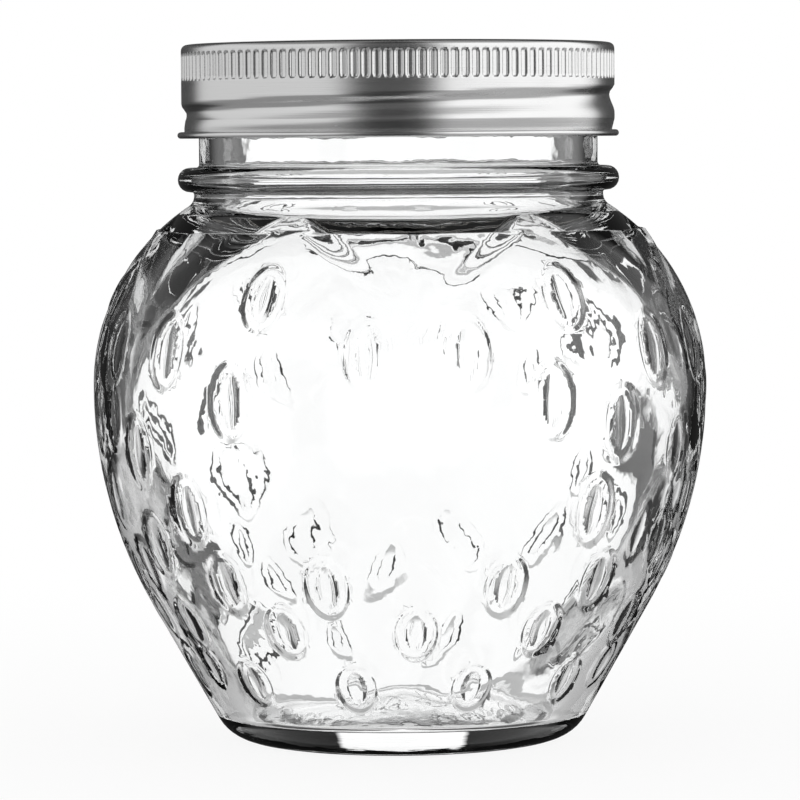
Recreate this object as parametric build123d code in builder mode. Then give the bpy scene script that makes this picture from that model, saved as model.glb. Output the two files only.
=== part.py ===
from build123d import *
import math
import os

# A clear glass jam pot in the shape of a strawberry, closed by a loose metal disc and a screw band.
# The origin is the middle of the table under the pot, +Z is up and -Y is the front. Millimetres.

# Glass body
belly_radius = 51.7        # widest half-width of the pot
belly_low = 59.5           # height where the flank starts to draw in
belly_band = 0.5           # short upright stretch at the widest part
shoulder_curve = 36.0      # arc over the shoulder
flank_curve = 74.0         # arc under the belly
flank_taper = 29.5         # degrees from upright where the flank runs straight
heel_curve = 7.2           # round edge above the standing ring
body_wall = 5.0
base_thickness = 5.0       # under the edge of the floor
floor_rise = 3.0           # the floor is domed
floor_round = 2.0          # inside corner between floor and flank
foot_width = 3.0           # flat ring that the pot stands on
push_up = 2.5              # hollow under the base

# Glass neck, from the shoulder up
collar_radius = 34.5
collar_height = 1.8
transfer_bead_radius = 37.2
transfer_bead_height = 4.1
transfer_bead_round = 2.0
finish_radius = 33.6
finish_height = 19.1
finish_wall = 4.1
mouth_round = 0.8          # rounding on both edges of the rim
throat_round = 5.0         # inside corner between shoulder and neck

# Calyx of leaves on the shoulder
leaf_count = 6
leaf_proud = 0.9
leaf_root = 1.2            # how far a leaf is sunk into the wall
leaf_tip_radius = 49.7
leaf_notch_radius = 36.8
leaf_bulge = 2.8

# Seeds in relief: a raised seed in an oval dimple. Each row gives its height and the azimuths, from
# the front, that repeat in every sector. Front and back keep a bare panel, where rows skip their seeds.
seed_rows = [
    (12.2, (-15, 15)),
    (21.7, (0, 30)),
    (29.4, (-18.5, 18.5)),
    (34.9, (0,)),
    (41.3, (-24, 13)),
    (50.5, (0,)),
    (55.3, (41,)),
    (59.5, (25,)),
    (67.2, (-9, 9)),
    (76.0, (30,)),
]
panel_low = 33.0
panel_high = 57.0
panel_half_angle = 26.0
dimple_depth = 0.5
dimple_side_curve = 18.5   # curvature across the dimple
dimple_long_curve = 46.0   # curvature along the dimple
dimple_half_angle = 15.0
seed_crest = 0.2           # above the surface, where the seed's round top is cut off by it
seed_half_width = 2.6
seed_half_length = 8.0

# Screw thread, shared by the glass and the band
thread_lead = 6.35
thread_proud = 1.9
thread_rope = 1.6          # half-width of the glass ridge
thread_turns = 1.2
thread_lead_in = 0.27      # turns of glass thread before the band's rolled thread begins
thread_play = 0.7          # between the glass ridge and the band's wall
thread_overlap = 0.5       # how far the rolled thread reaches under the glass ridge
thread_clearance = 0.3     # between the two flanks

# Screw band
band_sheet = 0.3
band_height = 15.7
band_corner = 1.0
flange_overlap = 4.5       # how far the top flange covers the disc
grip_wall = 0.65
grip_top_margin = 1.5
grip_height = 4.5
flute_count = 128
flute_width = 1.0
flute_depth = 0.35
rolled_rope = 2.1          # half-width of the rolled thread, inside
rolled_start_angle = 134.0
curl_radius = 0.55
curl_proud = 0.7           # how far the curled edge stands out from the wall
curl_neck = 0.2            # the wall draws in above the curl
curl_neck_height = 1.2

# Lid disc and its sealing ring
disc_sheet = 0.3
disc_clearance = 0.3       # lets the disc pass the rolled thread
panel_clearance = 0.7      # between the sunk panel and the mouth
panel_drop = 1.0
panel_slope = 0.8
button_radius = 9.0
button_rise = 0.5
seal_thickness = 0.9
seal_margin = 0.45         # bare rim on both sides of the sealing ring

# Places that follow from the sizes above
taper = math.radians(flank_taper)
shoulder_centre = belly_radius - shoulder_curve
belly_top = belly_low + belly_band
shoulder_end = belly_top + math.sqrt(shoulder_curve**2 - (collar_radius - shoulder_centre) ** 2)
bead_bottom = shoulder_end + collar_height
bead_top = bead_bottom + transfer_bead_height
rim_height = bead_top + finish_height
mouth_radius = finish_radius - finish_wall

disc_underside = rim_height + seal_thickness
disc_top = disc_underside + disc_sheet
band_top = disc_top + band_sheet
band_bottom = band_top - band_height

thread_crest = finish_radius + thread_proud
thread_centre = thread_crest - thread_rope
band_inside = thread_crest + thread_play
band_outside = band_inside + band_sheet
rolled_crest = thread_crest - thread_overlap
rolled_centre = rolled_crest + rolled_rope
flank_gap = thread_rope + rolled_rope + thread_clearance
rolled_drop = math.sqrt(flank_gap**2 - (rolled_centre - thread_centre) ** 2)
grip_bottom = band_top - grip_top_margin - grip_height
curl_top = band_bottom + 2 * curl_radius
rolled_start = curl_top + rolled_rope
rolled_turns = (grip_bottom - rolled_rope - rolled_start) / thread_lead
thread_start = rolled_start + rolled_drop - thread_lead_in * thread_lead
thread_start_angle = rolled_start_angle - thread_lead_in * 360

disc_radius = rolled_crest - disc_clearance
panel_outer = mouth_radius - panel_clearance
panel_level = disc_top - panel_drop
button_level = panel_level + button_rise


def flank_line(inset):
    """Upper end of the straight flank, for a wall set in from the outside by inset."""
    reach = flank_curve - inset
    return (
        belly_radius - flank_curve + reach * math.cos(taper),
        belly_low - reach * math.sin(taper),
    )


def surface_plane(height, azimuth):
    """Plane on the outside of the body, facing out, with its Y axis up the flank."""
    flank_end = flank_line(0)
    if height > belly_top:
        tilt = math.asin((height - belly_top) / shoulder_curve)
        radius = shoulder_centre + shoulder_curve * math.cos(tilt)
    elif height > belly_low:
        tilt = 0
        radius = belly_radius
    elif height > flank_end[1]:
        tilt = -math.asin((belly_low - height) / flank_curve)
        radius = belly_radius - flank_curve + flank_curve * math.cos(tilt)
    else:
        tilt = -taper
        radius = flank_end[0] - (flank_end[1] - height) * math.tan(taper)
    turn = math.radians(azimuth - 90)
    outward = Vector(math.cos(turn), math.sin(turn), 0)
    return Plane(
        origin=outward * radius + Vector(0, 0, height),
        x_dir=(-math.sin(turn), math.cos(turn), 0),
        z_dir=outward * math.cos(tilt) + Vector(0, 0, math.sin(tilt)),
    )


def seed_places():
    """Surface planes of all the seeds."""
    sector = 360 / leaf_count
    places = []
    for height, azimuths in seed_rows:
        for azimuth in azimuths:
            for turn in range(leaf_count):
                angle = azimuth + turn * sector
                from_panel = abs((angle + 90) % 180 - 90)
                on_panel = panel_low < height < panel_high and from_panel < panel_half_angle
                if not on_panel:
                    places.append(surface_plane(height, angle).location)
    return places


def helical_rope(centre_radius, rope_radius, turns):
    """A round rope wound up the closure's helix from the XZ plane, with ball ends."""
    with BuildPart() as rope:
        with BuildLine() as path:
            Helix(pitch=thread_lead, height=thread_lead * turns, radius=centre_radius)
        with BuildSketch(Plane(origin=path.line @ 0, z_dir=path.line % 0)):
            Circle(rope_radius)
        sweep(path=path.line, is_frenet=True)
        with Locations(path.line @ 0, path.line @ 1):
            Sphere(rope_radius)
    return rope.part


# One leaf of the calyx, seen from above, and the strip of shoulder that the leaves are cut from
with BuildSketch(Plane.XY.offset(belly_top)) as leaf:
    with BuildLine():
        notch = PolarLine((0, 0), leaf_notch_radius, 180 / leaf_count)
        SagittaArc(notch @ 1, (leaf_tip_radius, 0), leaf_bulge)
        Line((leaf_tip_radius, 0), (0, 0))
    make_face()
    mirror(about=Plane.XZ)

with BuildPart() as calyx:
    with BuildSketch(Plane.XZ):
        with Locations((shoulder_centre, belly_top)):
            Circle(shoulder_curve + leaf_proud)
            Circle(shoulder_curve - leaf_root, mode=Mode.SUBTRACT)
        with Locations((collar_radius - leaf_root, belly_top)):
            Rectangle(belly_radius, bead_bottom - belly_top, align=Align.MIN, mode=Mode.INTERSECT)
    revolve(axis=Axis.Z)
    with BuildSketch(Plane.XY.offset(belly_top)):
        with PolarLocations(0, leaf_count, start_angle=-90):
            add(leaf.sketch)
    extrude(amount=shoulder_curve, mode=Mode.INTERSECT)

# One seed, half a lemon shape
with BuildPart() as seed:
    with BuildSketch(Plane.XY.offset(seed_crest - seed_half_width)):
        with BuildLine():
            ThreePointArc((0, -seed_half_length), (seed_half_width, 0), (0, seed_half_length))
            Line((0, seed_half_length), (0, -seed_half_length))
        make_face()
    revolve(axis=Axis((0, 0, seed_crest - seed_half_width), (0, -1, 0)), revolution_arc=180)

# Cutter for one dimple, a slice of a barrel that dips into the surface and leaves the seed standing
with BuildPart() as dimple:
    with BuildSketch(Plane.YZ):
        reach = math.sqrt(dimple_long_curve**2 - (dimple_long_curve - dimple_depth) ** 2)
        with BuildLine():
            ThreePointArc((-reach, 0), (0, -dimple_depth), (reach, 0))
            Line((reach, 0), (-reach, 0))
        make_face()
    barrel_axis = Axis((0, 0, dimple_side_curve - dimple_depth), (0, 1, 0))
    revolve(axis=barrel_axis, revolution_arc=dimple_half_angle)
    mirror(about=Plane.YZ)
    add(seed.part, mode=Mode.SUBTRACT)

# Glass pot
with BuildPart() as jar:
    with BuildSketch(Plane.XZ) as jar_section:
        flank_top = flank_line(0)
        heel_reach = heel_curve + (flank_top[1] - heel_curve) * math.sin(taper)
        foot_outer = flank_top[0] - heel_reach / math.cos(taper)
        foot_inner = foot_outer - foot_width
        heel_end = (
            foot_outer + heel_curve * math.cos(taper),
            heel_curve - heel_curve * math.sin(taper),
        )
        with BuildLine():
            TangentArc((0, push_up), (foot_inner, 0), tangent=(1, 0))
            Line((foot_inner, 0), (foot_outer, 0))
            TangentArc((foot_outer, 0), heel_end, tangent=(1, 0))
            Line(heel_end, flank_top)
            TangentArc((belly_radius, belly_low), flank_top, tangent=(0, -1))
            Line((belly_radius, belly_low), (belly_radius, belly_top))
            TangentArc((belly_radius, belly_top), (collar_radius, shoulder_end), tangent=(0, 1))
            Polyline(
                (collar_radius, shoulder_end),
                (collar_radius, bead_bottom),
                (transfer_bead_radius, bead_bottom),
                (transfer_bead_radius, bead_top),
                (finish_radius, bead_top),
                (finish_radius, rim_height),
                (0, rim_height),
                (0, push_up),
            )
        make_face()
        inside_belly = belly_radius - body_wall
        inside_curve = shoulder_curve - body_wall
        throat = belly_top + math.sqrt(inside_curve**2 - (mouth_radius - shoulder_centre) ** 2)
        inside_top = flank_line(body_wall)
        floor_radius = inside_top[0] - (inside_top[1] - base_thickness) * math.tan(taper)
        floor_top = base_thickness + floor_rise
        with BuildLine():
            TangentArc((0, floor_top), (floor_radius, base_thickness), tangent=(1, 0))
            Line((floor_radius, base_thickness), inside_top)
            TangentArc((inside_belly, belly_low), inside_top, tangent=(0, -1))
            Line((inside_belly, belly_low), (inside_belly, belly_top))
            TangentArc((inside_belly, belly_top), (mouth_radius, throat), tangent=(0, 1))
            Polyline((mouth_radius, throat), (mouth_radius, rim_height), (0, rim_height), (0, floor_top))
        make_face(mode=Mode.SUBTRACT)
        rounded_corners = [
            (transfer_bead_radius, bead_bottom, transfer_bead_round),
            (transfer_bead_radius, bead_top, transfer_bead_round),
            (finish_radius, rim_height, mouth_round),
            (mouth_radius, rim_height, mouth_round),
            (mouth_radius, throat, throat_round),
            (floor_radius, base_thickness, floor_round),
        ]
        for corner_radius, corner_height, rounding in rounded_corners:
            fillet(jar_section.vertices().sort_by_distance((corner_radius, corner_height))[0], rounding)
    revolve(axis=Axis.Z)
    with Locations(Location((0, 0, thread_start), (0, 0, thread_start_angle))):
        add(helical_rope(thread_centre, thread_rope, thread_turns))
    add(calyx.part)
    with Locations(*seed_places()):
        add(dimple.part, mode=Mode.SUBTRACT)
jar.part.label = "jar"

# One flute of the grip, a slot with round ends
with BuildPart() as flute:
    grip_middle = grip_bottom + grip_height / 2
    with BuildSketch(Plane(origin=(band_outside, 0, grip_middle), x_dir=(0, 0, 1), z_dir=(1, 0, 0))):
        SlotOverall(grip_height, flute_width)
    extrude(amount=flute_depth, both=True)

# The ridge that the rolled thread raises inside the band
with BuildPart() as rolled_ridge:
    with Locations(Location((0, 0, rolled_start), (0, 0, rolled_start_angle))):
        add(helical_rope(rolled_centre, rolled_rope, rolled_turns))
    with Locations((0, 0, band_bottom)):
        ridge_root = band_outside - band_sheet / 2
        Cylinder(ridge_root, band_height, align=(Align.CENTER, Align.CENTER, Align.MIN), mode=Mode.INTERSECT)

# Screw band
with BuildPart() as screw_band:
    with BuildSketch(Plane.XZ) as band_section:
        neck_outside = band_outside - curl_neck
        neck_top = curl_top + curl_neck_height
        curl_middle = band_bottom + curl_radius
        with BuildLine():
            Polyline(
                (disc_radius - flange_overlap, band_top),
                (band_outside, band_top),
                (band_outside, neck_top),
                (neck_outside, curl_top),
                (neck_outside, curl_middle),
                (neck_outside - band_sheet, curl_middle),
                (neck_outside - band_sheet, curl_top),
                (band_inside, neck_top),
                (band_inside, grip_bottom),
                (band_outside - grip_wall, grip_bottom),
                (band_outside - grip_wall, disc_top),
                (disc_radius - flange_overlap, disc_top),
                close=True,
            )
        make_face()
        top_corner = band_section.vertices().sort_by_distance((band_outside, band_top))[0]
        fillet(top_corner, band_corner)
        with Locations((band_outside + curl_proud - curl_radius, curl_middle)):
            Circle(curl_radius)
    revolve(axis=Axis.Z)
    add(rolled_ridge.part)
    with Locations(Location((0, 0, rolled_start), (0, 0, rolled_start_angle))):
        add(helical_rope(rolled_centre, rolled_rope - band_sheet, rolled_turns), mode=Mode.SUBTRACT)
    with PolarLocations(0, flute_count):
        add(flute.part, mode=Mode.SUBTRACT)
screw_band.part.label = "screw_band"

# Lid disc: a flat rim, a sunk panel and a raised button, pressed from one sheet
with BuildPart() as lid_disc:
    with BuildSketch(Plane.XZ):
        pressed_line = [
            (0, button_level),
            (button_radius, button_level),
            (button_radius + panel_slope, panel_level),
            (panel_outer - panel_slope, panel_level),
            (panel_outer, disc_top),
            (disc_radius, disc_top),
        ]
        underside = [(r, z - disc_sheet) for r, z in reversed(pressed_line)]
        with BuildLine():
            Polyline(*pressed_line, *underside, close=True)
        make_face()
    revolve(axis=Axis.Z)
lid_disc.part.label = "lid_disc"

# Ring of sealing compound between the disc and the glass rim
with BuildPart() as sealing_ring:
    with BuildSketch(Plane.XY.offset(rim_height)):
        Circle(finish_radius - seal_margin)
        Circle(mouth_radius + seal_margin, mode=Mode.SUBTRACT)
    extrude(amount=seal_thickness)
sealing_ring.part.label = "sealing_ring"

os.makedirs("parts", exist_ok=True)
for piece in (jar, screw_band, lid_disc, sealing_ring):
    export_step(piece.part, f"parts/{piece.part.label}.step")
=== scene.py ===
# %% [markdown]
# # A strawberry jam pot of clear glass with a screw band lid
# The imported CAD model is the fixed frame of this lesson: it says where every piece is and how it moves.
# Each piece is made again here as a finer mesh, given a procedural finish, and set to ride on its body.
# The CAD model is loaded first and its parts are kept, hidden, so that their boxes give the new pieces their
# overall sizes.

# %% Load the frame
import math

import bmesh
import bpy
import numpy as np
from mathutils import Euler, Matrix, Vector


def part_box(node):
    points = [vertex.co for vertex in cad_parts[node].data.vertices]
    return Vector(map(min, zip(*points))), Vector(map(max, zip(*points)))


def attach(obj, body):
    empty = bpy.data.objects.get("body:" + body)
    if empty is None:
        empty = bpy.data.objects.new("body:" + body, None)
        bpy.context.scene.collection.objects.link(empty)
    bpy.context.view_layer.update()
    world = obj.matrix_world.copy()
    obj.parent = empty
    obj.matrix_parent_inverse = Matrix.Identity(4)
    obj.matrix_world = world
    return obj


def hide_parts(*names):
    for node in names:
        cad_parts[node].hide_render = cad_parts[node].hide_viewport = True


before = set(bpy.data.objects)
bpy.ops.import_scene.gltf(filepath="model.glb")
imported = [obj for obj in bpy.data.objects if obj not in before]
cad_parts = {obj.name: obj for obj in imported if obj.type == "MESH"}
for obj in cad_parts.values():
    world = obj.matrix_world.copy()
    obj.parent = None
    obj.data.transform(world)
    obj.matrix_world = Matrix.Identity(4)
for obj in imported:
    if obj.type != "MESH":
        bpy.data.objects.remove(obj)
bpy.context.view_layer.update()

# %% [markdown]
# ## Sections of turned pieces
# Glass pots and pressed lids are round, so each one is drawn as a section: a line in the plane of radius
# and height, in millimetres. A curve object with a screw modifier could spin such a line, but then the
# relief on the glass would have to be carved afterwards. Here the section stays a formula that can be
# asked for any point along it, and the relief is added while the surface is being made.

# %% Draw a section from straight runs, arcs and rounded corners
MM = 0.001
FINE_STEP = 0.05
NUDGE = 0.04
CORNER_ROWS = 0.3  # spacing of the rows in a rounding, as a share of its radius
CLOSEST_ROWS = 0.2


def arc(centre, radius, start, end):
    """Points of an arc, with angles in degrees, 0 pointing away from the axis and 90 up."""
    count = max(3, int(radius * math.radians(abs(end - start)) / FINE_STEP))
    angles = np.radians(np.linspace(start, end, count))
    return np.column_stack((centre[0] + radius * np.cos(angles), centre[1] + radius * np.sin(angles)))


def straight(start, end):
    """Points of a straight run."""
    count = max(3, int(math.dist(start, end) / FINE_STEP))
    return np.linspace(start, end, count)


def rounded_run(corners, spacing, name):
    """Runs through corner points (radius, height, rounding), each corner rounded by an arc."""
    stretches = []
    here = np.array(corners[0][:2], float)
    for corner, after in zip(corners[1:-1], corners[2:]):
        point = np.array(corner[:2], float)
        back = (here - point) / np.linalg.norm(here - point)
        ahead = np.array(after[:2], float) - point
        ahead = ahead / np.linalg.norm(ahead)
        half_turn = math.acos(np.clip(np.dot(back, ahead), -1, 1)) / 2
        tangent = corner[2] / math.tan(half_turn)
        middle = (back + ahead) / np.linalg.norm(back + ahead)
        centre = point + middle * corner[2] / math.sin(half_turn)
        first = point + back * tangent - centre
        last = point + ahead * tangent - centre
        start = math.degrees(math.atan2(first[1], first[0]))
        sweep = math.degrees(math.atan2(last[1], last[0])) - start
        sweep = (sweep + 180) % 360 - 180
        stretches.append((name, straight(here, point + back * tangent), spacing))
        corner_rows = max(CLOSEST_ROWS, corner[2] * CORNER_ROWS)
        stretches.append((name, arc(centre, corner[2], start, start + sweep), corner_rows))
        here = point + ahead * tangent
    stretches.append((name, straight(here, corners[-1][:2]), spacing))
    return stretches


class Section:
    """A section made of stretches (name, points, spacing of the mesh rows), joined end to end."""

    def __init__(self, stretches):
        points = np.vstack([points for _, points, _ in stretches])
        steps = np.linalg.norm(np.diff(points, axis=0), axis=1)
        self.points = points[np.append(True, steps > FINE_STEP / 1000)]
        steps = np.linalg.norm(np.diff(self.points, axis=0), axis=1)
        self.along = np.append(0, np.cumsum(steps))
        self.span = {}
        rows = [0.0]
        for name, stretch, spacing in stretches:
            start = rows[-1]
            length = np.linalg.norm(np.diff(stretch, axis=0), axis=1).sum()
            count = max(1, round(length / spacing))
            rows.extend(start + length * (step + 1) / count for step in range(count))
            self.span[name] = (self.span.get(name, (start, 0))[0], rows[-1])
        self.rows = np.array(rows)

    def at(self, along):
        """Radius and height at a distance along the section."""
        radius = np.interp(along, self.along, self.points[:, 0])
        height = np.interp(along, self.along, self.points[:, 1])
        return radius, height

    def facing(self, along):
        """Direction out of the material, as its radius and height parts."""
        radius_before, height_before = self.at(along - NUDGE)
        radius_after, height_after = self.at(along + NUDGE)
        out = np.column_stack((height_after - height_before, radius_before - radius_after))
        return out / np.maximum(np.linalg.norm(out, axis=1, keepdims=True), 1e-9)

    def place(self, height, first, last):
        """Distance along the stretches from first to last where the section first rises to this height."""
        part = (self.along >= self.span[first][0]) & (self.along <= self.span[last][1])
        return float(self.along[part][np.argmax(self.points[part, 1] >= height)])


def smooth_step(low, high, value):
    """0 below low, 1 above high, and a soft slope between them."""
    share = np.clip((value - low) / (high - low), 0, 1)
    return share * share * (3 - 2 * share)


def wrap(angle):
    """The same angle between minus and plus half a turn."""
    return (angle + math.pi) % (2 * math.pi) - math.pi


print("section tools ready, points every", FINE_STEP, "mm")

# %% [markdown]
# ## From a section to a mesh
# A glass blower starts with a plain tube and blows it into a mould, and this does the same. A bmesh tube
# has one ring for each row of the section, it is divided more finely where the relief is, and then every
# vertex goes to its real place. The normals come from the same formula, because a smooth highlight and a
# clean refraction need truer normals than the average of the faces around a vertex.


# %% Make a tube and blow it into shape
def tube_sheet(rows, columns, closed):
    """A tube of radius 1 with a ring at each row. A closed section joins its last row to its first."""
    sheet = bmesh.new()
    turns = [2 * math.pi * column / columns for column in range(columns)]
    levels = rows[:-1] if closed else rows[1:-1]
    rings = [[sheet.verts.new((math.cos(t), math.sin(t), level)) for t in turns] for level in levels]
    pairs = list(zip(rings, rings[1:]))
    if closed:
        pairs.append((rings[-1], rings[0]))
    for low, high in pairs:
        for column in range(columns):
            after = (column + 1) % columns
            sheet.faces.new((low[column], low[after], high[after], high[column]))
    if not closed:
        first = sheet.verts.new((0, 0, rows[0]))
        last = sheet.verts.new((0, 0, rows[-1]))
        for column in range(columns):
            after = (column + 1) % columns
            sheet.faces.new((first, rings[0][after], rings[0][column]))
            sheet.faces.new((last, rings[-1][column], rings[-1][after]))
    return sheet


def refine(sheet, needs_detail):
    """Divides the faces whose middle needs more detail."""
    middles = np.array([face.calc_center_median() for face in sheet.faces])
    chosen = needs_detail(np.arctan2(middles[:, 1], middles[:, 0]), middles[:, 2])
    edges = {edge for face, wanted in zip(sheet.faces, chosen) if wanted for edge in face.edges}
    bmesh.ops.subdivide_edges(sheet, edges=list(edges), cuts=1, use_grid_fill=True)


def blow(name, section, columns, relief, details=(), closed=False, inside=(0, 0)):
    """A mesh object of the section turned round the axis, with relief(turn, along) raised on it."""

    def surface(turn, along):
        radius, height = section.at(along)
        out = section.facing(along)
        lift = relief(turn, along)
        radius = radius + lift * out[:, 0]
        height = height + lift * out[:, 1]
        return np.column_stack((radius * np.cos(turn), radius * np.sin(turn), height))

    sheet = tube_sheet(section.rows, columns, closed)
    for needs_detail in details:
        refine(sheet, needs_detail)
    flat = np.array([vertex.co for vertex in sheet.verts])
    turn = np.arctan2(flat[:, 1], flat[:, 0])
    along = flat[:, 2]
    points = surface(turn, along)
    on_axis = np.hypot(points[:, 0], points[:, 1]) < FINE_STEP
    small_turn = NUDGE / np.maximum(section.at(along)[0], 1)
    round_way = surface(turn + small_turn, along) - surface(turn - small_turn, along)
    up_way = surface(turn, along + NUDGE) - surface(turn, along - NUDGE)
    normals = np.cross(round_way, up_way)
    normals[on_axis] = np.column_stack((np.zeros((on_axis.sum(), 2)), section.facing(along)[on_axis, 1]))
    normals /= np.maximum(np.linalg.norm(normals, axis=1, keepdims=True), 1e-12)
    for face in sheet.faces:
        face.material_index = int(inside[0] < face.calc_center_median().z < inside[1])
    for vertex, point in zip(sheet.verts, points * MM):
        vertex.co = point
    mesh = bpy.data.meshes.new(name)
    sheet.to_mesh(mesh)
    sheet.free()
    mesh.shade_smooth()
    mesh.normals_split_custom_set_from_vertices(normals)
    piece = bpy.data.objects.new(name, mesh)
    bpy.context.scene.collection.objects.link(piece)
    print(name, "has", len(mesh.vertices), "vertices and", len(mesh.polygons), "faces")
    return piece


# %% [markdown]
# ## The glass pot
# The pot is pressed and blown in a mould: a thick base with a domed floor, an even wall, a belly that is
# widest above the middle and a neck with a screw finish. Its outside and inside are one closed section, so
# that light bends at both faces, and the domed floor makes the base a lens that shows the backdrop as one
# bright block. The overall sizes are read from the frame, and the rest are drawing sizes in millimetres.

# %% Draw the section of the glass
jar_low, jar_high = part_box("jar")
belly_radius = (jar_high.x - jar_low.x) / 2 / MM
rim_height = jar_high.z / MM
belly_low = 59.5
belly_top = 60.0
shoulder_curve = 36.0
flank_curve = 74.0
flank_taper = 29.5
heel_curve = 7.2
body_wall = 5.0
base_thickness = 5.0
floor_rise = 3.0
floor_round = 2.0
foot_width = 3.0
push_up = 2.5
collar_radius = 34.5
bead_radius = 37.2
bead_height = 4.1
finish_radius = 33.6
finish_height = 19.1
finish_wall = 4.1
shoulder_round = 2.0
collar_round = 0.4
bead_round = 2.0
bead_foot_round = 0.6
rim_round = 0.9
throat_round = 5.0
shoulder_lead = 2  # degrees of each arc that are left to the rounding beside it
throat_lead = 8
dome_lead = 3
hollow_rows = 2.5  # spacing of the mesh rows
foot_rows = 1.5
heel_rows = 0.9
outside_rows = 2.2
neck_rows = 1.6
inside_rows = 1.9
floor_rows = 2.0

bead_top = rim_height - finish_height
bead_bottom = bead_top - bead_height
mouth_radius = finish_radius - finish_wall
shoulder_centre = belly_radius - shoulder_curve
inside_curve = shoulder_curve - body_wall
shoulder_angle = math.degrees(math.acos((collar_radius - shoulder_centre) / shoulder_curve))
throat_angle = math.degrees(math.acos((mouth_radius - shoulder_centre) / inside_curve))
shoulder_stop = shoulder_angle - shoulder_lead
throat_stop = throat_angle - throat_lead
slope = math.radians(flank_taper)
flank_centre = (belly_radius - flank_curve, belly_low)


def on_arc(centre, radius, angle):
    """A point of an arc, by its angle in degrees."""
    turn = math.radians(angle)
    return centre[0] + radius * math.cos(turn), centre[1] + radius * math.sin(turn)


def pot_section():
    """The glass from the middle of the base, up the outside, over the rim and down the inside."""
    shoulder_middle = (shoulder_centre, belly_top)
    flank_top = on_arc(flank_centre, flank_curve, -flank_taper)
    heel_reach = heel_curve + (flank_top[1] - heel_curve) * math.sin(slope)
    foot_outer = flank_top[0] - heel_reach / math.cos(slope)
    foot_inner = foot_outer - foot_width
    heel_middle = (foot_outer, heel_curve)
    hollow = (foot_inner**2 + push_up**2) / (2 * push_up)
    hollow_edge = math.degrees(math.atan2(hollow - push_up, foot_inner))
    inside_top = on_arc(flank_centre, flank_curve - body_wall, -flank_taper)
    floor_radius = inside_top[0] - (inside_top[1] - base_thickness) * math.tan(slope)
    shoulder_end = on_arc(shoulder_middle, shoulder_curve, shoulder_angle)
    neck = [
        on_arc(shoulder_middle, shoulder_curve, shoulder_stop) + (0,),
        shoulder_end + (shoulder_round,),
        (collar_radius, bead_bottom, collar_round),
        (bead_radius, bead_bottom, bead_round),
        (bead_radius, bead_top, bead_round),
        (finish_radius, bead_top, bead_foot_round),
        (finish_radius, rim_height, rim_round),
        (mouth_radius, rim_height, rim_round),
        on_arc(shoulder_middle, inside_curve, throat_angle) + (throat_round,),
        on_arc(shoulder_middle, inside_curve, throat_stop) + (0,),
    ]
    dome = (floor_radius**2 + floor_rise**2) / (2 * floor_rise)
    dome_middle = (0, base_thickness + floor_rise - dome)
    dome_start = 90 - math.degrees(math.asin(floor_radius / dome)) + dome_lead
    floor = [
        inside_top + (0,),
        (floor_radius, base_thickness, floor_round),
        on_arc(dome_middle, dome, dome_start) + (0,),
    ]
    inside_belly = belly_radius - body_wall
    return Section(
        [
            ("hollow", arc((0, push_up - hollow), hollow, 90, hollow_edge), hollow_rows),
            ("foot", straight((foot_inner, 0), (foot_outer, 0)), foot_rows),
            ("heel", arc(heel_middle, heel_curve, -90, -flank_taper), heel_rows),
            ("flank", straight(on_arc(heel_middle, heel_curve, -flank_taper), flank_top), outside_rows),
            ("flank", arc(flank_centre, flank_curve, -flank_taper, 0), outside_rows),
            ("belly", straight((belly_radius, belly_low), (belly_radius, belly_top)), outside_rows),
            ("shoulder", arc(shoulder_middle, shoulder_curve, 0, shoulder_stop), outside_rows),
        ]
        + rounded_run(neck, neck_rows, "neck")
        + [
            ("inside", arc(shoulder_middle, inside_curve, throat_stop, 0), inside_rows),
            ("inside", straight((inside_belly, belly_top), (inside_belly, belly_low)), inside_rows),
            ("inside", arc(flank_centre, flank_curve - body_wall, 0, -flank_taper), inside_rows),
        ]
        + rounded_run(floor, floor_rows, "floor")
        + [("floor", arc(dome_middle, dome, dome_start, 90), floor_rows)]
    )


pot = pot_section()
print("glass section is", round(pot.along[-1], 1), "mm long in", len(pot.rows), "rows")

# %% [markdown]
# ## Leaves, seeds and thread in the glass
# The mould gives the pot six leaves round the neck, like the calyx of a strawberry, and seeds that stand in
# oval dimples. They could be booleans, but boolean edges are too sharp for glass. Each is a soft height
# formula instead: the leaf is a step along an arc that thins out to its tip, the seed is a small dome in a
# flat dimple with a soft bank, and the screw thread is a round ridge that climbs the neck. Front and back
# keep a bare panel.

# %% Leaves on the shoulder
FRONT = -math.pi / 2
leaf_count = 6
leaf_proud = 0.9
leaf_edge = 1.7
leaf_tip_radius = 49.7
leaf_notch_radius = 36.8
leaf_bulge = 2.8
tip_thinning = 0.55
root_height = 86.0
root_edge = 0.35
root_gap_top = 89.0
root_gap_depth = 1.2
root_below = 1.0
root_above = 0.5
rib_depth = 0.4
rib_half_width = 0.6
valley_depth = 0.25
valley_half_width = 4.0
vein_fade = 6.0
sector = 2 * math.pi / leaf_count


def on_shoulder(along):
    """True on the stretch that carries the leaves."""
    return (along >= pot.span["belly"][1]) & (along <= pot.place(bead_bottom, "neck", "neck"))


def leaf_frame(turn, along):
    """Distance out from the axis along the nearest leaf's rib, and distance across from the rib."""
    radius, _ = pot.at(along)
    side = np.abs((turn - FRONT + sector / 2) % sector - sector / 2)
    return radius * np.cos(side), radius * np.sin(side)


def leaf_inside(turn, along):
    """Distance inside the arc between a notch and a tip, seen from above."""
    out, across = leaf_frame(turn, along)
    notch = leaf_notch_radius * np.array((math.cos(sector / 2), math.sin(sector / 2)))
    tip = np.array((leaf_tip_radius, 0.0))
    chord = np.linalg.norm(tip - notch)
    curve = leaf_bulge / 2 + chord**2 / (8 * leaf_bulge)
    outward = np.array((notch[1] - tip[1], tip[0] - notch[0])) / chord
    centre = (notch + tip) / 2 - outward * (curve - leaf_bulge)
    return curve - np.hypot(out - centre[0], across - centre[1])


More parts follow.
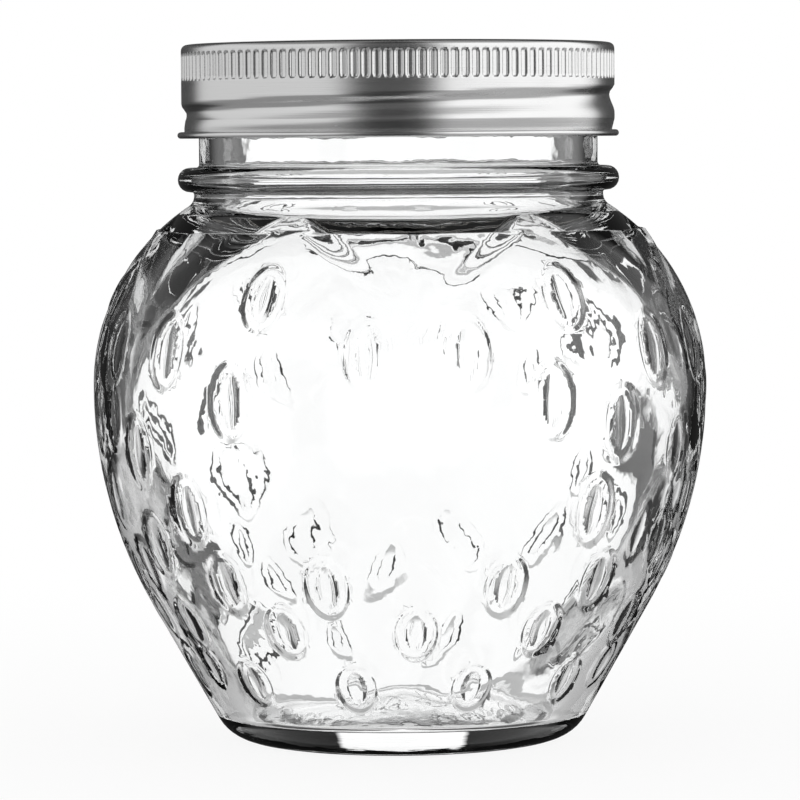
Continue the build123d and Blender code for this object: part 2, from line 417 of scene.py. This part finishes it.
def leaf_relief(turn, along):
    """Height of the leaves, thinner at the tip, with a groove along the rib and a gap at the root."""
    inside = leaf_inside(turn, along)
    out, across = leaf_frame(turn, along)
    _, height = pot.at(along)
    above_root = smooth_step(root_height - root_edge, root_height + root_edge, height)
    gap_share = np.clip((root_gap_top - height) / (root_gap_top - root_height), 0, 1)
    root_gap = root_gap_depth * gap_share * smooth_step(0, leaf_edge, inside)
    thinner = 1 - tip_thinning * smooth_step(leaf_notch_radius, leaf_tip_radius, out)
    blade = thinner * smooth_step(-leaf_edge, leaf_edge, inside)
    rib = rib_depth * np.exp(-((across / rib_half_width) ** 2))
    valley = valley_depth * np.exp(-((across / valley_half_width) ** 2))
    hollow = (rib + valley) * smooth_step(0, vein_fade, inside)
    raised = (leaf_proud * blade - hollow) * (1 - above_root) - root_gap * above_root
    return np.where(on_shoulder(along), raised, 0)


def on_leaf_root(along):
    """True where the leaves spring from the neck."""
    _, height = pot.at(along)
    near_root = (height > root_height - root_below) & (height < root_gap_top + root_above)
    return on_shoulder(along) & near_root


print(leaf_count, "leaves reach", leaf_tip_radius, "mm from the axis")

# %% Seeds in their dimples
seed_rows = [
    (12.2, (-15, 15)),
    (21.7, (0, 30)),
    (29.4, (-18.5, 18.5)),
    (34.9, (0,)),
    (41.3, (-24, 13)),
    (50.5, (0,)),
    (55.3, (41,)),
    (59.5, (25,)),
    (67.2, (-9, 9)),
    (76.0, (30,)),
]
panel_low = 33.0
panel_high = 57.0
panel_half_angle = 26.0
dimple_depth = 0.28
dimple_half_width = 3.8
dimple_half_height = 6.3
dimple_bank = 0.13
kernel_half_width = 1.9
kernel_half_height = 4.5
kernel_height = 0.37


def seed_places():
    """Turn, distance along the section, radius there and girth of the pot there against the belly."""
    places = []
    for height, azimuths in seed_rows:
        along = pot.place(height, "flank", "shoulder")
        radius = float(pot.at(along)[0])
        girth = radius / belly_radius
        for azimuth in azimuths:
            for leaf in range(leaf_count):
                angle = math.radians(azimuth) + leaf * sector
                from_panel = abs((angle + math.pi / 2) % math.pi - math.pi / 2)
                on_panel = panel_low < height < panel_high and from_panel < math.radians(panel_half_angle)
                if not on_panel:
                    places.append((FRONT + angle, along, radius, girth))
    return places


seeds = seed_places()


def seed_distance(turn, along):
    """Distance from the middle of the nearest seed, counted in dimples and in kernels."""
    dish = np.full(turn.shape, np.inf)
    kernel = np.full(turn.shape, np.inf)
    for seed_turn, seed_along, radius, girth in seeds:
        side = wrap(turn - seed_turn) * radius * 2 / (1 + girth)
        up = (along - seed_along) / girth
        dish = np.minimum(dish, np.hypot(side / dimple_half_width, up / dimple_half_height))
        kernel = np.minimum(kernel, np.hypot(side / kernel_half_width, up / kernel_half_height))
    return dish, kernel


def seed_relief(turn, along):
    """Height of the flat dimples with their banks, and of the seeds that stand in them."""
    dish, kernel = seed_distance(turn, along)
    bowl = dimple_depth * (1 - smooth_step(1 - dimple_bank, 1 + dimple_bank, dish))
    dome = kernel_height * np.clip(1 - kernel**3, 0, 1)
    return dome - bowl


print(len(seeds), "seeds in relief")

# %% Screw thread on the neck
thread_lead = 6.35
thread_proud = 1.9
thread_half_width = 2.0
thread_turns = 1.2
thread_lead_in = 0.27
thread_fade = math.radians(12)
thread_fullness = 1.5
thread_above_bead = 1.5
thread_below_rim = 1.0
rolled_start = 104.7
rolled_drop = 2.4
rolled_start_turn = math.radians(134)
thread_start = rolled_start + rolled_drop - thread_lead_in * thread_lead
thread_start_turn = rolled_start_turn - thread_lead_in * 2 * math.pi


def helix_gap(turn, height, start_turn, start_height, turns):
    """Height above the nearest coil of a helix, and how far that coil is from the helix's ends."""
    first = (turn - start_turn) % (2 * math.pi)
    gap = np.full(turn.shape, np.inf)
    from_end = np.zeros(turn.shape)
    for lap in range(-1, math.ceil(turns) + 1):
        travel = first + lap * 2 * math.pi
        this_gap = height - start_height - thread_lead * travel / (2 * math.pi)
        inside = np.minimum(travel, turns * 2 * math.pi - travel)
        better = (inside > -thread_fade) & (np.abs(this_gap) < np.abs(gap))
        gap = np.where(better, this_gap, gap)
        from_end = np.where(better, inside, from_end)
    return gap, from_end


def on_finish(along):
    """True on the stretch that carries the thread."""
    low = pot.place(bead_top + thread_above_bead, "shoulder", "neck")
    high = pot.place(rim_height - thread_below_rim, "shoulder", "neck")
    return (along >= low) & (along <= high)


def thread_relief(turn, along):
    """Height of the round ridge that the band screws on to."""
    _, height = pot.at(along)
    gap, from_end = helix_gap(turn, height, thread_start_turn, thread_start, thread_turns)
    ridge = np.cos(np.pi / 2 * np.clip(gap / thread_half_width, -1, 1)) ** thread_fullness
    ridge *= thread_proud * smooth_step(-thread_fade, thread_fade, from_end)
    return np.where(on_finish(along), ridge, 0)


print("thread rises", thread_lead, "mm a turn")

# %% [markdown]
# ## Blowing the pot
# Moulded glass is never quite even inside, because the air shapes it there and not the mould. A few slow
# waves on the inside wall make the far side of the pot wander when it is seen through the near side, which
# is much of what makes the picture read as glass.

# %% Make the glass pot
inside_wave = 0.16
blown_waves = [(5, 9.0, 0.0, 1.0), (8, -6.0, 1.3, 1.0), (13, 4.6, 4.0, 0.7)]
neck_share = 0.08
rim_to_throat = 24.0
neck_fade = 4.0
body_fade = 12.0
calm_floor = 30.0
floor_fade = 10.0
pot_columns = 126
coarse_reach = (1.4, 3.0)  # from the middle of a seed, in dimples, and from a leaf's edge, in millimetres
middle_reach = (1.15, 1.5)
bank_share = 0.75
kernel_foot = 0.95
foot_reach = 0.1
blown_span = (pot.span["neck"][1] - rim_to_throat, pot.span["floor"][1])


def inside_relief(turn, along):
    """Slow waves on the blown inside wall, each (waves round the pot, length, phase, share)."""
    waves = np.zeros(turn.shape)
    for count, length, phase, share in blown_waves:
        waves += share * np.sin(count * turn + along / length + phase)
    start, end = blown_span
    body_start = pot.span["inside"][0]
    calm_start = end - calm_floor
    fade = neck_share * smooth_step(start, start + neck_fade, along)
    fade += (1 - neck_share) * smooth_step(body_start, body_start + body_fade, along)
    fade *= 1 - smooth_step(calm_start - floor_fade, calm_start, along)
    return inside_wave * fade * waves


def pot_relief(turn, along):
    """All the relief of the glass."""
    return (
        leaf_relief(turn, along)
        + seed_relief(turn, along)
        + thread_relief(turn, along)
        + inside_relief(turn, along)
    )


def near_relief(turn, along, seed_reach, leaf_reach):
    """True near the seeds, the edges of the leaves and the roots of the leaves."""
    dish, _ = seed_distance(turn, along)
    edge = np.abs(leaf_inside(turn, along)) < leaf_reach
    return (dish < seed_reach) | (edge & on_shoulder(along)) | on_leaf_root(along)


def coarse_detail(turn, along):
    """Faces near the relief, and all of the thread."""
    return near_relief(turn, along, *coarse_reach) | on_finish(along)


def middle_detail(turn, along):
    """Faces on the relief."""
    return near_relief(turn, along, *middle_reach)


def fine_detail(turn, along):
    """Faces on the rim of each dimple and round the foot of each seed."""
    dish, kernel = seed_distance(turn, along)
    return (np.abs(dish - 1) < bank_share * dimple_bank) | (np.abs(kernel - kernel_foot) < foot_reach)


pot_details = [coarse_detail, middle_detail, fine_detail]
glass_pot = blow("glass_pot", pot, pot_columns, pot_relief, pot_details, inside=blown_span)
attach(glass_pot, "jar")
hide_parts("jar")

# %% [markdown]
# ## The screw band
# The band is one strip of tinplate: a flange that holds the disc down, a fluted grip, a rolled thread and a
# curled edge. On the real band each of these is pressed into the same thin sheet, so the outside and the
# inside get the same relief here and the sheet keeps its thickness everywhere.

# %% Draw the section of the band
band_low, band_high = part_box("screw_band")
band_top = band_high.z / MM
band_bottom = band_low.z / MM
band_sheet = 0.3
band_outside = 36.5
band_corner = 1.0
curl_radius = 0.55
curl_proud = 0.7
curl_neck = 0.5
curl_neck_height = 1.9
curl_start = -100
curl_end = 140
curl_tuck = 0.1
foot_round = 0.15
neck_round = 1.0
flange_inside = 30.2
flange_round = 0.12
band_foot_rows = 0.3
curl_rows = 0.12
wall_rows = 0.55


def band_section():
    """The sheet from its inside foot, round the curl, up the outside, over the flange and back down."""
    neck_outside = band_outside - curl_neck
    neck_inside = neck_outside - band_sheet
    curl_middle = (band_outside + curl_proud - curl_radius, band_bottom + curl_radius)
    curl_top = band_bottom + 2 * curl_radius
    neck_top = curl_top + curl_neck_height
    inside = band_outside - band_sheet
    meet_point = on_arc(curl_middle, curl_radius, curl_end)
    foot = [
        (neck_inside, curl_middle[1], 0),
        (neck_inside, band_bottom, foot_round),
        (curl_middle[0] - curl_tuck, band_bottom, 0),
    ]
    wall = [
        meet_point + (0,),
        (neck_outside, meet_point[1] + curl_tuck, foot_round),
        (band_outside, neck_top, neck_round),
        (band_outside, band_top, band_corner),
        (flange_inside, band_top, flange_round),
        (flange_inside, band_top - band_sheet, flange_round),
        (inside, band_top - band_sheet, band_corner - band_sheet),
        (inside, neck_top, neck_round),
        (neck_inside, curl_top, band_sheet),
        (neck_inside, curl_middle[1], 0),
    ]
    return Section(
        rounded_run(foot, band_foot_rows, "curl")
        + [("curl", arc(curl_middle, curl_radius, curl_start, curl_end), curl_rows)]
        + rounded_run(wall, wall_rows, "sheet")
    )


band = band_section()
print("band section is", round(band.along[-1], 1), "mm long in", len(band.rows), "rows")

# %% Flutes and rolled thread
flute_count = 128
flute_width = 1.0
flute_depth = 0.35
flute_soft = 0.22
grip_top_margin = 1.5
grip_height = 4.5
grip_margin = 0.4
groove_depth = 0.9
groove_above = 1.7
groove_below = 3.2
groove_turns = 0.69
grip_middle = band_top - grip_top_margin - grip_height / 2


def flute_gap(turn, along):
    """Distance from the edge of the nearest flute, negative inside it."""
    radius, height = band.at(along)
    pitch = 2 * math.pi / flute_count
    side = ((turn + pitch / 2) % pitch - pitch / 2) * radius
    past_end = np.maximum(np.abs(height - grip_middle) - (grip_height - flute_width) / 2, 0)
    return np.hypot(side, past_end) - flute_width / 2


def on_wall(along):
    """True on the wall of the band, and not on its flange."""
    radius, _ = band.at(along)
    return radius > band_outside - 2 * band_sheet


def band_relief(turn, along):
    """The flutes and the rolled thread, pressed inwards on both faces of the sheet."""
    _, height = band.at(along)
    flute = flute_depth * (1 - smooth_step(-flute_soft, flute_soft, flute_gap(turn, along)))
    gap, from_end = helix_gap(turn, height, rolled_start_turn, rolled_start, groove_turns)
    reach = np.where(gap > 0, groove_above, groove_below)
    groove = groove_depth * np.cos(np.pi / 2 * np.clip(gap / reach, -1, 1)) ** 2
    groove *= smooth_step(-thread_fade, thread_fade, from_end)
    outward = np.sign(band.facing(along)[:, 0])
    return np.where(on_wall(along), -outward * (flute + groove), 0)


def band_detail(turn, along):
    """Faces of the grip on both faces of the sheet."""
    _, height = band.at(along)
    return on_wall(along) & (np.abs(height - grip_middle) < grip_height / 2 + grip_margin)


fluted_band = blow("fluted_band", band, 4 * flute_count, band_relief, [band_detail], closed=True)
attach(fluted_band, "screw_band")
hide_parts("screw_band")

# %% [markdown]
# ## The lid disc and its seal
# The disc is stamped from flat sheet: a rim that lies on the glass, a sunk panel that stiffens it and a
# raised button in the middle. A ring of soft compound is cured on to its underside and does the sealing.
# Both are drawn as sections with rounded bends, because sheet metal can't take a sharp corner.

# %% Make the lid disc
_, disc_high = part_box("lid_disc")
disc_top = disc_high.z / MM
disc_radius = disc_high.x / MM
disc_sheet = 0.3
panel_outer = 28.8
panel_drop = 1.0
panel_slope = 0.8
button_radius = 9.0
button_rise = 0.5
bend = 0.5
disc_edge = 0.13
disc_rows = 0.9
lid_columns = 256
panel_level = disc_top - panel_drop
button_level = panel_level + button_rise
pressed_line = [
    (0, button_level, 0),
    (button_radius, button_level, bend),
    (button_radius + panel_slope, panel_level, bend),
    (panel_outer - panel_slope, panel_level, bend),
    (panel_outer, disc_top, bend),
]
underside = [(radius, height - disc_sheet, rounding) for radius, height, rounding in pressed_line]
rim = [(disc_radius, disc_top - disc_sheet, disc_edge), (disc_radius, disc_top, disc_edge)]
disc = Section(rounded_run(underside + rim + pressed_line[::-1], disc_rows, "disc"))


def plain(turn, along):
    """No relief."""
    return np.zeros_like(turn)


lacquered = (0, disc.along[np.argmax(disc.points[:, 0])])
pressed_disc = blow("pressed_disc", disc, lid_columns, plain, inside=lacquered)
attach(pressed_disc, "lid_disc")
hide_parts("lid_disc")

# %% Make the sealing ring
seal_low, seal_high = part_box("sealing_ring")
seal_margin = 0.45
seal_round = 0.3
seal_rows = 0.4
seal_outer = seal_high.x / MM
seal_inner = mouth_radius + seal_margin
seal_middle = (seal_inner + seal_outer) / 2
seal_bottom = seal_low.z / MM
seal_top = seal_high.z / MM
seal_corners = [
    (seal_middle, seal_bottom, 0),
    (seal_outer, seal_bottom, seal_round),
    (seal_outer, seal_top, seal_round),
    (seal_inner, seal_top, seal_round),
    (seal_inner, seal_bottom, seal_round),
    (seal_middle, seal_bottom, 0),
]
seal = Section(rounded_run(seal_corners, seal_rows, "seal"))
sealing_bead = blow("sealing_bead", seal, lid_columns, plain, closed=True)
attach(sealing_bead, "lid_disc")
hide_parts("sealing_ring")

# %% [markdown]
# ## Small helpers for node trees
# Materials are node trees, and writing them out takes many lines. A few helpers keep that readable: they
# add a node with its settings and inputs, the four kinds of node that come up most, an empty group, and a
# material with its shader.


# %% Node helpers
def add_node(tree, kind, inputs=None, **settings):
    """A new node with its settings, and its inputs set to values or linked from sockets."""
    made = tree.nodes.new(kind)
    for name, value in settings.items():
        setattr(made, name, value)
    for name, value in (inputs or {}).items():
        if isinstance(value, bpy.types.NodeSocket):
            tree.links.new(value, made.inputs[name])
        else:
            made.inputs[name].default_value = value
    return made


def calculate(tree, operation, first, second=0.0, third=0.0):
    """The output of a math node."""
    inputs = {0: first, 1: second, 2: third}
    return add_node(tree, "ShaderNodeMath", inputs, operation=operation).outputs[0]


def blend(tree, share, first, second):
    """A colour between two colours, by a share from 0 to 1."""
    inputs = {"Factor": share, "A": first, "B": second}
    return add_node(tree, "ShaderNodeMix", inputs, data_type="RGBA").outputs["Result"]


def between(tree, share, low, high):
    """A value between low and high, by a share from 0 to 1."""
    inputs = {"Value": share, "To Min": low, "To Max": high}
    return add_node(tree, "ShaderNodeMapRange", inputs).outputs[0]


def bumped(tree, height, strength, distance):
    """The normal of a surface that this height is laid on, with its distance in metres."""
    inputs = {"Height": height, "Strength": strength, "Distance": distance}
    return add_node(tree, "ShaderNodeBump", inputs).outputs["Normal"]


def grey(level):
    """An opaque grey."""
    return level, level, level, 1


def new_group(name, inputs, outputs):
    """An empty shader node group with float inputs (name: default) and outputs (name: socket type)."""
    group = bpy.data.node_groups.new(name, "ShaderNodeTree")
    for socket_name, default in inputs.items():
        socket = group.interface.new_socket(socket_name, in_out="INPUT", socket_type="NodeSocketFloat")
        socket.default_value = default
    for socket_name, socket_type in outputs.items():
        group.interface.new_socket(socket_name, in_out="OUTPUT", socket_type=socket_type)
    return group, group.nodes.new("NodeGroupInput").outputs, group.nodes.new("NodeGroupOutput").inputs


def new_material(name):
    """A material with a Principled shader, returned with its tree and shader."""
    material = bpy.data.materials.new(name)
    material.use_nodes = True
    return material, material.node_tree, material.node_tree.nodes["Principled BSDF"]


print("node helpers ready")

# %% [markdown]
# ## Effects that several finishes share
# Sheet metal shows the fine streaks of the rolls it came through, and every handled surface has faint
# smudges. Both are used by more than one material, so each is a node group with its own inputs, built once.

# %% Group: streaks of rolled sheet
sheet_grain, grain_in, grain_out = new_group(
    "sheet_grain",
    {"Streaks per metre": 4000.0, "Drawn out": 60.0},
    {"Streaks": "NodeSocketFloat"},
)
place = add_node(sheet_grain, "ShaderNodeTexCoord").outputs["Object"]
parts = add_node(sheet_grain, "ShaderNodeSeparateXYZ", {0: place}).outputs
slow = calculate(sheet_grain, "DIVIDE", grain_in["Streaks per metre"], grain_in["Drawn out"])
stretched = add_node(
    sheet_grain,
    "ShaderNodeCombineXYZ",
    {
        "X": calculate(sheet_grain, "MULTIPLY", parts["X"], slow),
        "Y": calculate(sheet_grain, "MULTIPLY", parts["Y"], slow),
        "Z": calculate(sheet_grain, "MULTIPLY", parts["Z"], grain_in["Streaks per metre"]),
    },
).outputs[0]
fine = add_node(sheet_grain, "ShaderNodeTexNoise", {"Vector": stretched, "Scale": 1.0, "Detail": 3.0})
sheet_grain.links.new(fine.outputs["Fac"], grain_out["Streaks"])
print("group", sheet_grain.name, "made")

# %% Group: faint smudges of handling
smudges, smudge_in, smudge_out = new_group(
    "smudges",
    {"Patches per metre": 60.0, "Amount": 0.3},
    {"Mask": "NodeSocketFloat", "Height": "NodeSocketFloat"},
)
place = add_node(smudges, "ShaderNodeTexCoord").outputs["Object"]
patches = add_node(
    smudges, "ShaderNodeTexNoise", {"Vector": place, "Scale": smudge_in["Patches per metre"], "Detail": 4.0}
)
spread = add_node(
    smudges,
    "ShaderNodeMapRange",
    {"Value": patches.outputs["Fac"], "From Min": 0.52, "From Max": 0.75},
    interpolation_type="SMOOTHSTEP",
)
smudges.links.new(calculate(smudges, "MULTIPLY", spread.outputs[0], smudge_in["Amount"]), smudge_out["Mask"])
smudges.links.new(patches.outputs["Fac"], smudge_out["Height"])
print("group", smudges.name, "made")

# %% [markdown]
# ## Finishes
# The glass is clear and fire-polished, with only a trace of mould skin on it, and its blown inside is a copy
# with a faint ripple. The band and disc are bright tinplate with a satin grain, so their roughness follows
# the streaks, and the underside of the disc is lacquered grey. The compound is matt and a little cloudy.
# Values that are the same all over sit on the shader itself.

# %% Glass
glass, tree, shader = new_material("moulded_glass")
shader.inputs["Base Color"].default_value = (0.995, 0.998, 0.998, 1)
shader.inputs["Transmission Weight"].default_value = 1.0
shader.inputs["IOR"].default_value = 1.5
skin = add_node(tree, "ShaderNodeGroup", node_tree=smudges)
skin.inputs["Patches per metre"].default_value = 120.0
skin.inputs["Amount"].default_value = 0.03
bump = bumped(tree, skin.outputs["Height"], strength=0.02, distance=0.001)
tree.links.new(skin.outputs["Mask"], shader.inputs["Roughness"])
tree.links.new(bump, shader.inputs["Normal"])
glass_pot.data.materials.append(glass)
print("finish", glass.name, "made")

# %% The rippled glass of the blown inside
rippled = glass.copy()
rippled.name = "blown_glass"
tree = rippled.node_tree
tree.nodes.remove(tree.nodes["Bump"])
place = add_node(tree, "ShaderNodeTexCoord").outputs["Object"]
ripples = add_node(tree, "ShaderNodeTexNoise", {"Vector": place, "Scale": 280.0, "Detail": 1.5})
bump = bumped(tree, ripples.outputs["Fac"], strength=1.0, distance=0.00005)
tree.links.new(bump, tree.nodes["Principled BSDF"].inputs["Normal"])
glass_pot.data.materials.append(rippled)
print("finish", rippled.name, "made")

# %% Tinplate of the band and the disc
tin_colour = (0.80, 0.80, 0.80, 1)
streak_shade = 0.93
streak_colour = tuple(streak_shade * part for part in tin_colour[:3]) + (1,)


def tinplate(name, streaks, drawn_out, rough_low, rough_high):
    """Satin tinplate whose brightness and roughness follow the streaks of the sheet."""
    material, tree, shader = new_material(name)
    shader.inputs["Metallic"].default_value = 1.0
    grain = add_node(tree, "ShaderNodeGroup", node_tree=sheet_grain)
    grain.inputs["Streaks per metre"].default_value = streaks
    grain.inputs["Drawn out"].default_value = drawn_out
    marks = add_node(tree, "ShaderNodeGroup", node_tree=smudges)
    marks.inputs["Amount"].default_value = 0.08
    tone = blend(tree, grain.outputs["Streaks"], streak_colour, tin_colour)
    rough = between(tree, grain.outputs["Streaks"], rough_low, rough_high)
    rough = calculate(tree, "ADD", rough, marks.outputs["Mask"])
    bump = bumped(tree, grain.outputs["Streaks"], strength=0.08, distance=0.0002)
    tree.links.new(tone, shader.inputs["Base Color"])
    tree.links.new(rough, shader.inputs["Roughness"])
    tree.links.new(bump, shader.inputs["Normal"])
    return material


satin_band = tinplate("satin_band", streaks=5000, drawn_out=80, rough_low=0.18, rough_high=0.27)
satin_disc = tinplate("satin_disc", streaks=3000, drawn_out=40, rough_low=0.22, rough_high=0.32)
fluted_band.data.materials.append(satin_band)
pressed_disc.data.materials.append(satin_disc)
print("finishes", satin_band.name, "and", satin_disc.name, "made")

# %% Lacquer under the disc
lacquer, tree, shader = new_material("grey_lacquer")
film = add_node(tree, "ShaderNodeGroup", node_tree=smudges)
film.inputs["Patches per metre"].default_value = 200.0
tone = blend(tree, film.outputs["Mask"], (0.11, 0.11, 0.11, 1), (0.14, 0.14, 0.13, 1))
rough = between(tree, film.outputs["Height"], low=0.3, high=0.5)
tree.links.new(tone, shader.inputs["Base Color"])
tree.links.new(rough, shader.inputs["Roughness"])
pressed_disc.data.materials.append(lacquer)
print("finish", lacquer.name, "made")

# %% Sealing compound
compound, tree, shader = new_material("cured_compound")
clouds = add_node(tree, "ShaderNodeGroup", node_tree=smudges)
clouds.inputs["Patches per metre"].default_value = 300.0
clouds.inputs["Amount"].default_value = 0.4
tone = blend(tree, clouds.outputs["Mask"], (0.80, 0.77, 0.72, 1), (0.68, 0.64, 0.58, 1))
rough = between(tree, clouds.outputs["Mask"], low=0.5, high=0.7)
bump = bumped(tree, clouds.outputs["Height"], strength=0.3, distance=0.0003)
tree.links.new(tone, shader.inputs["Base Color"])
tree.links.new(rough, shader.inputs["Roughness"])
tree.links.new(bump, shader.inputs["Normal"])
sealing_bead.data.materials.append(compound)
print("finish", compound.name, "made")

# %% [markdown]
# ## The camera
# The photograph was taken from three quarters of a metre with a long lens, just below the height of the rim.
# The pot is turned a few degrees, so the camera stands a little to the left of its front.

# %% Set up the camera
camera_distance = 0.75
camera_height = 0.101
camera_turn = math.radians(-3.2)
camera_roll = math.radians(-0.4)
aim_height = 0.0571
pixels_per_slope = 4438
image_width = 800
camera = bpy.data.objects.new("camera", bpy.data.cameras.new("camera"))
bpy.context.scene.collection.objects.link(camera)
camera.data.sensor_width = 36.0
camera.data.lens = camera.data.sensor_width * pixels_per_slope / image_width
camera.location = (
    camera_distance * math.sin(camera_turn),
    -camera_distance * math.cos(camera_turn),
    camera_height,
)
look_down = math.atan2(camera_height - aim_height, camera_distance)
upright = Euler((math.pi / 2 - look_down, 0, camera_turn)).to_matrix()
camera.rotation_euler = (upright @ Matrix.Rotation(camera_roll, 3, "Z")).to_euler()
bpy.context.scene.camera = camera
print("lens", round(camera.data.lens, 1), "mm")

# %% [markdown]
# ## Floor and light
# Glass has no colour of its own, so it is drawn by what stands round it. A photographer puts a white sheet
# behind it and black cards at its sides: the middle of the pot then shows white, and its edges and relief
# show dark lines. The world does this with its direction: through the glass the sheet is white, the cards
# and the ceiling are dark and the table is grey, while the camera itself sees plain white. The metal sees a
# large bright softbox on the right, a weaker one on the left and a dim room in front and overhead.

# %% Make the floor
paper_radius = 0.6
floor_mesh = bpy.data.meshes.new("floor")
plate = bmesh.new()
bmesh.ops.create_circle(plate, cap_ends=True, segments=96, radius=paper_radius)
plate.to_mesh(floor_mesh)
plate.free()
floor = bpy.data.objects.new("floor", floor_mesh)
bpy.context.scene.collection.objects.link(floor)
paper, tree, shader = new_material("white_paper")
shader.inputs["Base Color"].default_value = grey(0.9)
shader.inputs["Roughness"].default_value = 0.9
white = add_node(tree, "ShaderNodeEmission", {"Color": grey(1), "Strength": 1.0})
far = add_node(
    tree,
    "ShaderNodeVectorMath",
    {0: add_node(tree, "ShaderNodeTexCoord").outputs["Object"]},
    operation="LENGTH",
)
fade = add_node(
    tree,
    "ShaderNodeMapRange",
    {"Value": far.outputs["Value"], "From Min": 0.05, "From Max": 0.3, "To Min": 0.9, "To Max": 1.0},
    interpolation_type="SMOOTHSTEP",
)
shown = add_node(
    tree, "ShaderNodeMixShader", {0: fade.outputs[0], 1: shader.outputs[0], 2: white.outputs[0]}
)
floor.visible_transmission = False
floor.visible_glossy = False
tree.links.new(shown.outputs[0], tree.nodes["Material Output"].inputs["Surface"])
floor_mesh.materials.append(paper)
print("floor is", 2 * paper_radius, "m across")

# %% Directions round the pot, and ramps of light
world = bpy.data.worlds.new("studio")
bpy.context.scene.world = world
world.use_nodes = True
tree = world.node_tree
background = tree.nodes["Background"]
direction = add_node(tree, "ShaderNodeTexCoord").outputs["Generated"]
turned = add_node(
    tree, "ShaderNodeVectorRotate", {"Vector": direction, "Angle": -camera_turn}, rotation_type="Z_AXIS"
)
parts = add_node(tree, "ShaderNodeSeparateXYZ", {0: turned.outputs[0]}).outputs
from_back = calculate(tree, "ARCTAN2", parts["X"], parts["Y"])
half_turn = calculate(tree, "ABSOLUTE", from_back)
from_back_share = calculate(tree, "DIVIDE", half_turn, math.pi)
from_front = calculate(tree, "ARCTAN2", parts["X"], calculate(tree, "MULTIPLY", parts["Y"], -1.0))
from_front_share = calculate(tree, "MULTIPLY_ADD", from_front, 0.5 / math.pi, 0.5)
height_share = calculate(tree, "MULTIPLY_ADD", parts["Z"], 0.5, 0.5)


def bands_of_light(tree, share, stops):
    """A ramp of grey levels through stops (share of the ramp, level)."""
    ramp = add_node(tree, "ShaderNodeValToRGB", {"Fac": share})
    elements = ramp.color_ramp.elements
    while len(elements) > 1:
        elements.remove(elements[-1])
    for number, (position, level) in enumerate(stops):
        element = elements[0] if number == 0 else elements.new(position)
        element.position = position
        element.color = grey(level)
    return ramp.outputs["Color"]


print("directions counted from the camera, turned by", round(math.degrees(camera_turn), 1), "degrees")

# %% What the glass shows of the studio
ceiling_level = 0.02
table_heights = [(0.2, 0), (0.24, 1), (0.37, 1), (0.40, 0)]  # share of the way from down to up, and level
table_levels = [(0, 0.5), (40, 0.55), (55, 1.0)]  # degrees from straight behind the pot, and level
sheet_and_cards = [
    (0, 1.1),
    (13.6, 1.1),
    (14.6, 0.01),
    (28, 0.03),
    (45, 0.1),
    (55, 0.2),
    (62, 1.0),
    (118, 1.0),
    (125, 0.12),
    (145, 0.12),
    (152, 1.0),
]
behind = bands_of_light(tree, from_back_share, [(angle / 180, level) for angle, level in sheet_and_cards])
above = add_node(
    tree, "ShaderNodeMapRange", {"Value": parts["Z"], "From Min": 0.36, "From Max": 0.44}
).outputs[0]
below = bands_of_light(tree, height_share, table_heights)
table = bands_of_light(tree, from_back_share, [(angle / 180, level) for angle, level in table_levels])
behind = blend(tree, above, behind, grey(ceiling_level))
behind = blend(tree, below, behind, table)
print("sheet, cards, ceiling and table stand round the glass")

# %% What the metal shows, and the light on everything else
fill_level = 0.9
eye_level_heights = [(0.35, 0.4), (0.5, 1.0), (0.78, 1.0), (0.88, 0.3)]  # share from down to up, and level
softbox_levels = [  # degrees from the camera, positive to the right, and level
    (-180, 0.06),
    (-138, 0.06),
    (-126, 0.75),
    (-34, 0.82),
    (-20, 0.09),
    (14, 0.09),
    (28, 1.25),
    (122, 1.25),
    (136, 0.06),
    (180, 0.06),
]
softboxes = bands_of_light(
    tree, from_front_share, [(0.5 + angle / 360, level) for angle, level in softbox_levels]
)
at_eye_level = bands_of_light(tree, height_share, eye_level_heights)
softboxes = add_node(
    tree, "ShaderNodeVectorMath", {0: softboxes, 1: at_eye_level}, operation="MULTIPLY"
).outputs[0]
light_path = add_node(tree, "ShaderNodeLightPath").outputs
lit = blend(tree, light_path["Is Glossy Ray"], grey(fill_level), softboxes)
lit = blend(tree, light_path["Is Transmission Ray"], lit, behind)
lit = blend(tree, light_path["Is Camera Ray"], lit, grey(1))
tree.links.new(lit, background.inputs["Color"])
bpy.context.scene.view_settings.view_transform = "Standard"
print("studio light made")
